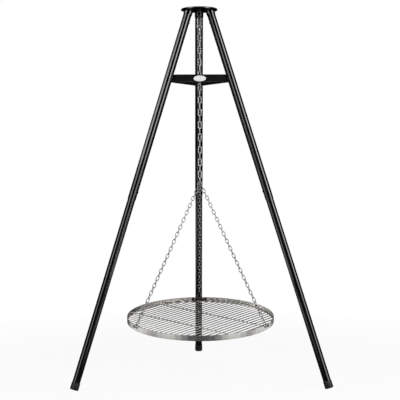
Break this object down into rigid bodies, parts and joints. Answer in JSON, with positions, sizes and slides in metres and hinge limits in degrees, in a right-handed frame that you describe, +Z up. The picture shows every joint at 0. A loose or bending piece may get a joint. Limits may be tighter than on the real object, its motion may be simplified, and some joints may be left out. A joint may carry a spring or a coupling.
{
  "type": "tripod grill",
  "caption": "Tripod grill: black tube legs under a round head, joined by a three-sided brace, with a round steel grate that hangs on a chain and bridle chains.",
  "frame": {"origin": "centre of the bounding box's bottom face, on the ground", "axes": "+Z up; -Y is the front, with two legs in front and one leg behind at +Y; +X is to the right seen from the front"},
  "size_m": [1.1794, 1.0268, 1.747],
  "materials": {
    "black_paint": "glossy black powder coat",
    "black_plastic": "matt black moulded caps",
    "zinc": "bright zinc plate",
    "stainless": "brushed stainless steel",
    "black_steel": "blackened steel",
    "white_badge": "glossy white, blank"
  },
  "bodies": {
    "stand": {"badge": "white_badge", "brace_plate": "black_paint", "brace_screw_left": "zinc", "brace_screw_rear": "zinc", "brace_screw_right": "zinc", "foot_cap_left": "black_plastic", "foot_cap_rear": "black_plastic", "foot_cap_right": "black_plastic", "joint_screw_left": "zinc", "joint_screw_rear": "zinc", "joint_screw_right": "zinc", "leg_spigot_left": "black_paint", "leg_spigot_rear": "black_paint", "leg_spigot_right": "black_paint", "lower_leg_left": "black_paint", "lower_leg_rear": "black_paint", "lower_leg_right": "black_paint", "spigot_screw_left": "zinc", "spigot_screw_rear": "zinc", "spigot_screw_right": "zinc", "swivel_housing": "black_paint", "top_disc": "black_paint", "upper_leg_left": "black_paint", "upper_leg_rear": "black_paint", "upper_leg_right": "black_paint"},
    "eye": {"swivel_eye": "black_paint"},
    "hook": {"snap_hook": "zinc"},
    "gate": {"snap_hook_gate": "zinc"},
    "chain": {"main_chain": "zinc"},
    "ring": {"junction_ring": "zinc"},
    "grate": {"bridle_chain_left": "zinc", "bridle_chain_rear": "zinc", "bridle_chain_right": "zinc", "grate_band": "stainless", "grate_bars": "stainless", "hanger_lug_left": "black_steel", "hanger_lug_rear": "black_steel", "hanger_lug_right": "black_steel", "rim_ring_left": "zinc", "rim_ring_rear": "zinc", "rim_ring_right": "zinc"}
  },
  "joints": [
    {"name": "eye_swivel", "type": "hinge", "parent": "stand", "child": "eye", "pos_m": [0, -0.16447, 1.7232], "axis": [0, 0, 1], "continuous": true},
    {"name": "hook_swing", "type": "hinge", "parent": "eye", "child": "hook", "pos_m": [0, -0.16447, 1.7053], "axis": [1, 0, 0], "range_deg": [-3.5, 3.5]},
    {"name": "gate_open", "type": "hinge", "parent": "hook", "child": "gate", "pos_m": [0.0105, -0.16447, 1.669], "axis": [0, -1, 0], "range_deg": [0, 25], "stiffness_Nm_per_rad": 0.02, "springref_deg": -17.19},
    {"name": "chain_swing", "type": "hinge", "parent": "hook", "child": "chain", "pos_m": [0, -0.16447, 1.6572], "axis": [0, 1, 0], "range_deg": [-3.5, 3.5]},
    {"name": "ring_swing", "type": "hinge", "parent": "chain", "child": "ring", "pos_m": [0, -0.16447, 0.947], "axis": [0, -1, 0], "range_deg": [-2.5, 2.5]},
    {"name": "grate_swing", "type": "hinge", "parent": "ring", "child": "grate", "pos_m": [0, -0.16447, 0.9335], "axis": [-1, 0, 0], "range_deg": [-2.5, 2.5]}
  ]
}
